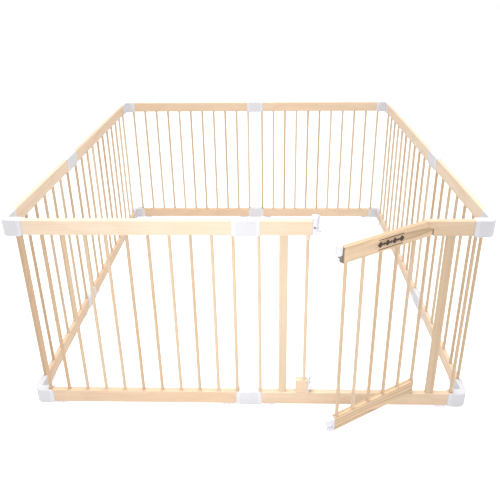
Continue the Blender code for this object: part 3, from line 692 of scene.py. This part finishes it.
def gate_wood():
    """The gate, drawn closed with its free end towards -X, then turned open about the pivot."""
    places = run_of(0, GATE_BARS, -GATE_PITCH)
    upper = rod_mesh(0, 0, LAP - LAP_GAP, TOP_RAIL[1] + OVERCUT, HOLLOW, HOLLOW_SIDES)
    drill = bmesh.new()
    for x in places[1:]:
        drill_for_bar(drill, x, 0, TOP_RAIL[0], -1)
    drill_for_pin(drill, 0, 0, "upper_hinge_pin", LAP, -1)
    gate_rail("gate_top_rail_wood", TOP_RAIL, [upper, drill], "gate_top_rail")

    drill = bmesh.new()
    for x in places:
        drill_for_bar(drill, x, 0, GATE_LOW_RAIL[1], 1)
    drill_for_pin(drill, 0, 0, "lower_hinge_pin", GATE_LOW_RAIL[0], 1)
    gate_rail("gate_bottom_rail_wood", GATE_LOW_RAIL, [drill], "gate_lower_frame")
    bars("gate_bars", places, 0, GATE_LOW_RAIL[1], GATE_PITCH, "gate", OPEN, PIVOT)


PRINT_SPAN = (-0.200, -0.110)  # from the pivot, along the closed gate
PRINT_THICK = 0.0004
LOZENGES = 7
LOZENGE_SIDES = (0.0150, 0.0080)  # large and small by turns
RULE_AT = 0.016  # from the rail's middle to each rule
RULE_HALF = 0.0014


def gate_print():
    """A plain printed ornament on the gate's top rail: a row of lozenges between two rules."""
    left, right = PRINT_SPAN
    centre = LAP
    bm = bmesh.new()
    for i in range(LOZENGES):
        x = left + (right - left) * (i + 0.5) / LOZENGES
        size = LOZENGE_SIDES[i % 2]
        place = (Matrix.Translation((x, -RAIL_HALF, centre)) @ Matrix.Rotation(QUARTER / 2, 4, "Y")
                 @ Matrix.Diagonal((size, PRINT_THICK, size, 1.0)))
        bmesh.ops.create_cube(bm, size=1.0, matrix=place)
    for side in (-1, 1):
        z = centre + side * RULE_AT
        add_box(bm, (left, -RAIL_HALF - PRINT_THICK / 2, z - RULE_HALF),
                (right, -RAIL_HALF + PRINT_THICK / 2, z + RULE_HALF))
    finish_piece(to_object("gate_print", bm, INK), "gate", OPEN, PIVOT)


# ---------------------------------------------------------------- sleeves

def end_rounding(at, direction, wall, outward, turned):
    """A cutter that rounds a leg end's corner on the bars' side. It runs across the leg, which lies
    along X, or along Y if turned."""
    ring = [(at - direction * END_ROUND, wall + outward * OVERCUT)]
    for i in range(END_STEPS + 1):
        a = math.radians(90.0 * i / END_STEPS)
        ring.append((at - direction * (END_ROUND - END_ROUND * math.sin(a)),
                     wall - outward * (END_ROUND - END_ROUND * math.cos(a))))
    ring.append((at + direction * OVERCUT, wall - outward * END_ROUND))
    ring.append((at + direction * OVERCUT, wall + outward * OVERCUT))
    bm = bmesh.new()
    first, last = [], []
    for along, z in ring:
        for across, side in ((-END_CUTTER_HALF, first), (END_CUTTER_HALF, last)):
            side.append(bm.verts.new((across, along, z) if turned else (along, across, z)))
    bm.faces.new(first)
    bm.faces.new(list(reversed(last)))
    for i in range(len(ring)):
        j = (i + 1) % len(ring)
        bm.faces.new((first[i], first[j], last[j], last[i]))
    bmesh.ops.recalc_face_normals(bm, faces=bm.faces)
    return bm


def bar_slot(x, sign, wall, outward, turned):
    """A cutter for a slot from just behind a bar to past the leg's end."""
    xs = sorted((x - sign * (BAR_R + SLOT_BEHIND), x + sign * SLOT_LENGTH))
    zs = sorted((wall - outward * (SLEEVE_WALL + SLOT_INNER), wall + outward * SLOT_OUTER))
    corners = zip(xs, (-SLOT_HALF, SLOT_HALF), zs)
    low, high = [(y, x, z) if turned else (x, y, z) for x, y, z in corners]
    return box_mesh(low, high)


def end_cuts(reach, inset, sign, wall, outward, turned=False):
    """What is cut from one leg on the bars' side: the first bar's slot, and the end's rounding."""
    return [("DIFFERENCE", bar_slot(sign * inset, sign, wall, outward, turned)),
            ("DIFFERENCE", end_rounding(sign * reach, sign, wall, outward, turned))]


def middle_sleeve(name, turn, place, heights, top):
    """A straight sleeve over a joint, with tapered end bands, and slots for the bars on both sides
    of the joint."""
    z0, z1 = heights[0] - SLEEVE_WALL, heights[1] + SLEEVE_WALL
    half, reach, t = SLEEVE_HALF, SLEEVE_REACH, BAND_TAPER
    bm = bmesh.new()
    rings = []
    for x, inset in ((-reach, t), (-reach + BAND, 0.0), (reach - BAND, 0.0), (reach, t)):
        corners = ((-half + inset, z0 + inset), (half - inset, z0 + inset),
                   (half - inset, z1 - inset), (-half + inset, z1 - inset))
        rings.append([bm.verts.new((x, y, z)) for y, z in corners])
    bm.faces.new(rings[0])
    bm.faces.new(list(reversed(rings[-1])))
    for a, b in zip(rings, rings[1:]):
        join_rings(bm, a, b)
    bmesh.ops.recalc_face_normals(bm, faces=bm.faces)
    round_sharp_edges(bm, SLEEVE_EDGE)
    obj = to_object(name + "_shell", bm, WHITE)
    room = RAIL_HALF + FIT
    hollow = box_mesh((-reach - OVERCUT, -room, heights[0] - FIT),
                      (reach + OVERCUT, room, heights[1] + FIT))
    wall, outward = (z0, -1) if top else (z1, 1)
    steps = [("DIFFERENCE", hollow)]
    for sign in (-1, 1):
        steps += end_cuts(reach, MIDDLE_INSET, sign, wall, outward)
    carve(obj, steps)
    # The end bands get the lighter material, a painted highlight for the light on their tapered faces.
    paint(obj, BAND_PAINTED_HIGHLIGHT, lambda at: abs(at.x) > reach - BAND)
    finish_piece(obj, "pen", turn, place, [name], 30.0)


def corner_sleeve(name, corner, facing, heights, top, insets):
    """An elbow over two rail ends. facing is the corner's signs in X and Y, insets the distances of
    the first bars."""
    z0, z1 = heights[0] - SLEEVE_WALL, heights[1] + SLEEVE_WALL
    half, t = SLEEVE_HALF, BAND_TAPER
    inner = LEG - half
    sx, sy = facing
    body = arc(half - CORNER_ROUND, half - CORNER_ROUND, CORNER_ROUND, 0, 90, CORNER_STEPS)
    # The outline in order, apart from the outer corner's arc, which comes between G and H. The legs
    # end at AI and EF, and their bands start at BH and DG.
    points = {
        "A": (-inner, -half + t), "B": (-inner + BAND, -half), "C": (-half, -half),
        "D": (-half, -inner + BAND), "E": (-half + t, -inner), "F": (half - t, -inner),
        "G": (half, -inner + BAND), "H": (-inner + BAND, half), "I": (-inner, half - t)}
    bm = bmesh.new()

    def ring_of(z, inset):
        made = {}
        for key, (x, y) in points.items():
            drop = inset if key in "AIEF" else 0.0
            made[key] = bm.verts.new((x * sx, y * sy, z + drop))
        made["arc"] = [bm.verts.new((x * sx, y * sy, z)) for x, y in body]
        return made

    def around(ring):
        return [ring[k] for k in "ABCDEFG"] + ring["arc"] + [ring["H"], ring["I"]]

    low, high = ring_of(z0, t), ring_of(z1, -t)
    for ring in (low, high):
        bm.faces.new([ring[k] for k in "ABHI"])
        bm.faces.new([ring[k] for k in "BCDG"] + ring["arc"] + [ring["H"]])
        bm.faces.new([ring[k] for k in "DEFG"])
    lower, upper = around(low), around(high)
    for i in range(len(lower)):
        j = (i + 1) % len(lower)
        bm.faces.new((lower[i], lower[j], upper[j], upper[i]))
    bmesh.ops.recalc_face_normals(bm, faces=bm.faces)
    round_sharp_edges(bm, SLEEVE_EDGE)
    obj = to_object(name + "_shell", bm, WHITE)

    room = RAIL_HALF + FIT
    gap = RAIL_HALF + CORNER_GAP
    steps = []
    for axis in (0, 1):
        box_low, box_high = [-room, -room, heights[0] - FIT], [room, room, heights[1] + FIT]
        box_low[axis], box_high[axis] = sorted((-facing[axis] * gap,
                                                -facing[axis] * (inner + OVERCUT)))
        steps.append(("DIFFERENCE", box_mesh(box_low, box_high)))
    wall, outward = (z0, -1) if top else (z1, 1)
    for axis in (0, 1):
        steps += end_cuts(inner, insets[axis], -facing[axis], wall, outward, axis == 1)
    carve(obj, steps)
    # The end bands get the lighter material, a painted highlight for the light on their tapered faces.
    paint(obj, BAND_PAINTED_HIGHLIGHT, lambda at: min(at.x * sx, at.y * sy) < BAND - inner)
    finish_piece(obj, "pen", 0.0, (*corner, 0.0), [name], 30.0)


def sleeves():
    """The sixteen sleeves: a middle one on each side and an elbow at each corner, low and high."""
    front_inset = RIGHT - LAST_BAR
    side_inset = SIDE_JOINT - MIDDLE_INSET - (SHORT_BARS - 1) * PITCH - FRONT
    sides = (("front", 0.0, (0, FRONT, 0)), ("back", 0.0, (0, BACK, 0)),
             ("left", QUARTER, (LEFT, SIDE_JOINT, 0)), ("right", QUARTER, (RIGHT, SIDE_JOINT, 0)))
    for level, heights, top in (("bottom", LOW_RAIL, False), ("top", TOP_RAIL, True)):
        for side, turn, place in sides:
            middle_sleeve(f"{level}_middle_sleeve_{side}", turn, place, heights, top)
        for y_name, y, sy in (("front", FRONT, -1), ("back", BACK, 1)):
            for x_name, x, sx in (("left", LEFT, -1), ("right", RIGHT, 1)):
                corner_sleeve(f"{level}_corner_sleeve_{y_name}_{x_name}", (x, y), (sx, sy),
                              heights, top, (front_inset, side_inset))


# ---------------------------------------------------------------- feet

FOOT_SIDES = 40


def feet():
    """Suction feet: a domed cup with a thin rim, a neck and a round washer against the rail."""
    for node in sorted(frame["nodes"]):
        if not node.startswith("foot_"):
            continue
        low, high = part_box(node)
        x, y = (low.x + high.x) / 2, (low.y + high.y) / 2
        r = (high.x - low.x) / 2
        top = LOW_RAIL[0] - FIT
        washer_and_neck = [(0.0, top), (r * 0.40, top), (r * 0.42, top - 0.0012),
                           (r * 0.44, top - 0.0020)]
        dome = [(r * 0.70, 0.0030), (r * 0.90, 0.0020)]
        rim = [(r - 0.0006, 0.0014), (r, 0.0008), (r - 0.0004, 0.0002), (r - 0.0012, 0.0)]
        underside = [(r * 0.90, 0.0), (r * 0.6, 0.0010), (0.0, 0.0016)]
        bm = bmesh.new()
        add_turned(bm, 0, 0, washer_and_neck + dome + rim + underside, FOOT_SIDES)
        finish_piece(to_object(node + "_cup", bm, RUBBER), "pen", 0.0, (x, y, 0),
                     [node], 50.0)


# ---------------------------------------------------------------- latch, catch and pins

CAD_FINISH = {"latch_bolt": STEEL, "upper_hinge_pin": STEEL, "lower_hinge_pin": STEEL}

INSET = 0.002  # how far most joined pieces stay inside the piece they stand on
TUCK = 0.0005  # the same, where it is tighter

# Places on the gate, measured from the pivot axis along the closed gate
PLATE_INNER = GATE_END + FIT
PLATE_OUTER = PLATE_INNER + 0.0035
GUIDE_OUTER = PLATE_OUTER + 0.0045
KNOB_INNER = 0.3215
KNOB_OUTER = 0.3395
BOLT_AT = 0.331
CATCH_INNER = PLATE_INNER + INSET  # where the fork's prongs start, inside its plate
CATCH_OUTER = PLATE_INNER + 0.0045
PRONG_LOW_END = 0.339
PRONG_HIGH_END = 0.345

# Half widths across the rail
PLATE_HALF = RAIL_HALF - INSET / 2
GUIDE_HALF = 0.004
KNOB_HALF = 0.010
PRONG_HALF = 0.009
GROOVE_HALF = 0.0062
BOLT_R = 0.003
KNOB_PLAY = 0.0004  # round the guide and the bolt

# Roundings of the edges
PLATE_EDGE = 0.0011
GUIDE_EDGE = 0.0006
KNOB_EDGE = 0.0062
CAP_EDGE = 0.0014
SHELF_EDGE = 0.0016
CATCH_EDGE = 0.0012
TONGUE_EDGE = 0.0022
PRONG_LOW_EDGE = 0.0042
PRONG_HIGH_EDGE = 0.0052

# Along the knob's height
KNOB_LOW, KNOB_TOP = span("latch_knob", 2)
KNOB_ROOM = 0.0108  # from the guide's top to the roof of the knob's slot, for 10 mm of travel
BOLT_HOLE = 0.0123
GROOVES = 3
GROOVE_FIRST = 0.0125  # below the knob's top
GROOVE_STEP = 0.0045
GROOVE_TALL = 0.0008  # half of a groove's height
GROOVE_DEEP = 0.0006
GROOVE_OVERCUT = 0.004

# The receivers
CAP_THICK = 0.0147
LOW_CAP_THICK = 0.0045
ROOT = 0.004  # how far the lip and the shelf start inside the cap
LIP_REACH = 0.0095  # how far the lips reach past the caps
LIP_GAP = 0.001  # from the knob's side to the lip
SHELF_TALL = 0.0105
BOLT_SEAT = 0.016  # up to where the bolt's hole is cut, above the receiver's foot
SEAT_PLAY = 0.0006
TONGUE_PAST = 0.0015  # how far the tongue reaches past the knob's width, into the lip
TONGUE_HEIGHTS = (0.018, 0.027)  # above the bottom rail
FORK_GAP = (0.016, 0.029)  # between the prongs, above the bottom rail

# The receiver's screw
SCREW_R = 0.004
SCREW_LENGTH = 0.005
SCREW_SUNK = 0.0032  # from the cap's face to the head's middle
SEAT_R = 0.0043
SEAT_LENGTH = 0.0123
CROSS_LONG = 0.0048
CROSS_WIDE = 0.0009
CROSS_DEEP = 0.0022
CROSS_OVERCUT = 0.002


def carried_over():
    """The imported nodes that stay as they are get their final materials."""
    for node, material in CAD_FINISH.items():
        obj = frame["nodes"][node]
        obj.data.materials.clear()
        obj.data.materials.append(material)


def gate_latch():
    """The guide on the end of the gate, darkened as painted shade for the gap beside the knob, and
    the rounded knob that slides on it.
    """
    low, high = span("latch_housing", 2)
    # The plate's dark colour is painted shade for the gap beside the knob.
    plate = to_object("latch_guide_plate", box_mesh((-PLATE_OUTER, -PLATE_HALF, low),
                                                    (-PLATE_INNER, PLATE_HALF, high), PLATE_EDGE),
                      DARK_GREY_AND_PAINTED_GAP_SHADE)
    guide = box_mesh((-GUIDE_OUTER, -GUIDE_HALF, low + INSET),
                     (-PLATE_INNER - TUCK, GUIDE_HALF, high - INSET / 2), GUIDE_EDGE)
    carve(plate, [("UNION", guide)])
    finish_piece(plate, "gate", OPEN, PIVOT, ["latch_housing"])

    body = box_mesh((-KNOB_OUTER, -KNOB_HALF, KNOB_LOW), (-KNOB_INNER, KNOB_HALF, KNOB_TOP),
                    KNOB_EDGE, 6)
    knob = to_object("latch_slide_knob", body, LATCH_WHITE)
    room = GUIDE_HALF + KNOB_PLAY
    slot = box_mesh((-GUIDE_OUTER - 2 * KNOB_PLAY, -room, KNOB_LOW - OVERCUT),
                    (-KNOB_INNER + OVERCUT, room, high + KNOB_ROOM))
    hole = rod_mesh(-BOLT_AT, 0, KNOB_LOW - OVERCUT, KNOB_LOW + BOLT_HOLE, BOLT_R + KNOB_PLAY)
    steps = [("DIFFERENCE", slot), ("DIFFERENCE", hole)]
    for i in range(GROOVES):
        z = KNOB_TOP - GROOVE_FIRST - GROOVE_STEP * i
        groove = box_mesh((-KNOB_OUTER - GROOVE_OVERCUT, -GROOVE_HALF, z - GROOVE_TALL),
                          (-KNOB_OUTER + GROOVE_DEEP, GROOVE_HALF, z + GROOVE_TALL))
        steps.append(("DIFFERENCE", groove))
    carve(knob, steps)
    finish_piece(knob, "latch", OPEN, PIVOT, ["latch_knob"], 35.0)


def receiver():
    """The cap on the latch side's rail end, with its lip, the shelf for the bolt, and its screw."""
    low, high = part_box("latch_receiver")
    face = FRONT - RAIL_HALF
    cap = low.x + CAP_THICK
    lip = FRONT + (KNOB_HALF + LIP_GAP)
    body = box_mesh((low.x, face, low.z), (cap, high.y, high.z), CAP_EDGE, 4)
    obj = to_object("receiver_cap", body, LATCH_WHITE)
    wall = box_mesh((cap - ROOT, lip, low.z + INSET),
                    (cap + LIP_REACH, high.y - FIT, high.z - INSET), PLATE_EDGE)
    shelf = box_mesh((cap - ROOT, face + TUCK, low.z + TUCK),
                     (high.x, lip + TUCK, low.z + SHELF_TALL), SHELF_EDGE)
    hole = rod_mesh(PIVOT.x - BOLT_AT, FRONT, low.z - OVERCUT, low.z + BOLT_SEAT,
                    BOLT_R + SEAT_PLAY)
    screw_x, screw_z = middle("receiver_screw", 0), middle("receiver_screw", 2)
    seat = level_rod_mesh((screw_x, face, screw_z), SEAT_LENGTH, SEAT_R)
    carve(obj, [("UNION", wall), ("UNION", shelf), ("DIFFERENCE", hole), ("DIFFERENCE", seat)])
    finish_piece(obj, "pen", nodes=["latch_receiver"], crease=35.0)

    head = level_rod_mesh((screw_x, face + SCREW_SUNK, screw_z), SCREW_LENGTH, SCREW_R)
    obj = to_object("receiver_cross_screw", head, STEEL)
    cross = []
    for wide, tall in ((CROSS_LONG, CROSS_WIDE), (CROSS_WIDE, CROSS_LONG)):
        arm = box_mesh((screw_x - wide / 2, face - CROSS_OVERCUT, screw_z - tall / 2),
                       (screw_x + wide / 2, face + CROSS_DEEP, screw_z + tall / 2))
        cross.append(("DIFFERENCE", arm))
    carve(obj, cross)
    finish_piece(obj, "pen", nodes=["receiver_screw"], crease=35.0)


def lower_latch():
    """The tongued plate on the wooden block, and the fork on the gate that slides over its
    tongue."""
    low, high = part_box("lower_receiver")
    face = FRONT - RAIL_HALF
    cap = low.x + LOW_CAP_THICK
    floor = LOW_RAIL[1]
    body = box_mesh((low.x, face, low.z), (cap, high.y, high.z), CATCH_EDGE)
    obj = to_object("lower_tongue_plate", body, LATCH_WHITE)
    tongue = box_mesh((low.x + INSET, face + INSET / 2, floor + TONGUE_HEIGHTS[0]),
                      (high.x, FRONT + KNOB_HALF + TONGUE_PAST, floor + TONGUE_HEIGHTS[1]),
                      TONGUE_EDGE, 4)
    wall = box_mesh((low.x + INSET, FRONT + KNOB_HALF + LIP_GAP, low.z + INSET),
                    (cap + LIP_REACH, high.y - FIT, high.z - INSET), PLATE_EDGE)
    carve(obj, [("UNION", tongue), ("UNION", wall)])
    finish_piece(obj, "pen", nodes=["lower_receiver"], crease=35.0)

    bottom, top = span("lower_catch", 2)
    body = box_mesh((-CATCH_OUTER, -PRONG_HALF, bottom),
                    (-PLATE_INNER, PRONG_HALF, GATE_LOW_RAIL[1]), CATCH_EDGE)
    fork = to_object("lower_fork", body, LATCH_WHITE)
    lower = box_mesh((-PRONG_LOW_END, -PRONG_HALF + TUCK, bottom + 3 * TUCK),
                     (-CATCH_INNER, PRONG_HALF - TUCK, floor + FORK_GAP[0]), PRONG_LOW_EDGE, 5)
    upper = box_mesh((-PRONG_HIGH_END, -PRONG_HALF, floor + FORK_GAP[1]),
                     (-CATCH_INNER, PRONG_HALF, top), PRONG_HIGH_EDGE, 5)
    carve(fork, [("UNION", lower), ("UNION", upper)])
    finish_piece(fork, "gate", OPEN, PIVOT, ["lower_catch"], 35.0)


COLLAR_WALL = 0.0014
COLLAR_SIDES = 32


def post_collar():
    """A turned collar on the latch side's last bar, right under the top rail, with eased ends."""
    low, high = span("latch_bar_collar", 2)
    inner = BAR_R + FIT
    r = inner + COLLAR_WALL
    profile = [(inner, high), (r - 0.0004, high), (r, high - 0.0008), (r, low + 0.0012),
               (r - 0.0006, low), (inner, low)]
    bm = bmesh.new()
    rings = [circle_of(bm, 0, 0, radius, z, COLLAR_SIDES) for radius, z in profile]
    for upper, lower in zip(rings, rings[1:] + rings[:1]):
        join_rings(bm, upper, lower)
    bmesh.ops.recalc_face_normals(bm, faces=bm.faces)
    finish_piece(to_object("latch_bar_ring", bm, COLLAR_BEIGE), "pen", 0.0,
                 (middle("latch_bar_collar", 0), FRONT, 0), ["latch_bar_collar"], 35.0)


# ---------------------------------------------------------------- stage

AMBIENT = 0.62  # the white surroundings' strength as a light; the camera sees them at 1
KEY = 1.72
KEY_SPREAD = 68.0
OVERHEAD = 200.0
LEFT_FILL = 16.0
RIGHT_FILL = 15.0
FLOOR_GLOW = 0.20  # the floor's own light on the pen
FLOOR_SEEN = 0.9  # and what the camera sees, so that the floor is white, as in the photo
FLOOR_GREY = 0.6
FLOOR_HALF = 14.0

# The camera, fitted to the photo: just outside the gate side, above the top rail, looking down
LENS = 32.13
SHIFT = (-0.0125, -0.2751)  # down, which keeps the uprights steep
CAMERA_PLACE = (0.0636, FRONT - 1.1895, LOW_RAIL[1] + 1.4062)
YAW, PITCH_DOWN, ROLL = (math.radians(angle) for angle in (1.324, 17.865, -0.613))


def camera():
    data = bpy.data.cameras.new("camera")
    cam = bpy.data.objects.new("camera", data)
    bpy.context.scene.collection.objects.link(cam)
    bpy.context.scene.camera = cam
    data.sensor_width = 36.0
    data.lens = LENS
    data.shift_x, data.shift_y = SHIFT
    cam.location = CAMERA_PLACE
    turn = Matrix.Rotation(YAW, 4, "Z") @ Matrix.Rotation(QUARTER - PITCH_DOWN, 4, "X")
    cam.rotation_euler = (turn @ Matrix.Rotation(ROLL, 4, "Z")).to_euler()


def area_light(name, place, target, size, power, spread=180.0):
    data = bpy.data.lights.new(name, "AREA")
    data.shape = "DISK"
    data.size = size
    data.energy = power
    data.spread = math.radians(spread)
    light = bpy.data.objects.new(name, data)
    light.location = place
    towards = Vector(target) - Vector(place)
    light.rotation_euler = towards.to_track_quat("-Z", "Y").to_euler()
    bpy.context.scene.collection.objects.link(light)


def surroundings():
    """A white background, softer as a light than it looks."""
    world = bpy.data.worlds.new("studio")
    bpy.context.scene.world = world
    world.use_nodes = True
    tree = world.node_tree
    background = tree.nodes["Background"]
    background.inputs["Color"].default_value = (1.0, 1.0, 1.0, 1.0)
    seen = tree.nodes.new("ShaderNodeLightPath")
    strength = tree.nodes.new("ShaderNodeMapRange")
    strength.inputs["To Min"].default_value = AMBIENT
    strength.inputs["To Max"].default_value = 1.0
    tree.links.new(seen.outputs["Is Camera Ray"], strength.inputs["Value"])
    tree.links.new(strength.outputs["Result"], background.inputs["Strength"])


def white_floor():
    """A floor that looks white, straight or through the clear feet, but lights the pen little."""
    bm = bmesh.new()
    bmesh.ops.create_grid(bm, x_segments=1, y_segments=1, size=FLOOR_HALF)
    n = Nodes("floor_white")
    n.set(Base_Color=(FLOOR_GREY, FLOOR_GREY, FLOOR_GREY, 1.0), Roughness=0.9,
          Emission_Color=(1.0, 1.0, 1.0, 1.0))
    glow = n.add("ShaderNodeMapRange")
    glow.inputs["To Min"].default_value = FLOOR_GLOW
    glow.inputs["To Max"].default_value = FLOOR_SEEN
    rays = n.add("ShaderNodeLightPath").outputs
    seen = n.math("MAXIMUM", rays["Is Camera Ray"], rays["Is Transmission Ray"])
    n.link(seen, glow.inputs["Value"])
    n.link(glow.outputs["Result"], n.shader.inputs["Emission Strength"])
    floor = to_object("floor", bm, n.mat)


def stage():
    bpy.context.scene.view_settings.view_transform = "Standard"
    surroundings()
    white_floor()
    area_light("key", (-0.1, FRONT - 1.3, 1.2), (-0.08, FRONT, 0.37), 0.5, KEY, KEY_SPREAD)
    area_light("top", (0.0, 0.0, 5.0), (0, 0, 0), 3.5, OVERHEAD)
    area_light("left_fill", (-2.6, FRONT - 1.2, 1.5), (0, 0, 0.4), 1.6, LEFT_FILL)
    area_light("right_fill", (2.6, FRONT - 1.2, 1.5), (0, 0, 0.4), 1.6, RIGHT_FILL)


panels()
gate_panel()
gate_wood()
gate_print()
sleeves()
feet()
gate_latch()
receiver()
lower_latch()
post_collar()
carried_over()
camera()
stage()
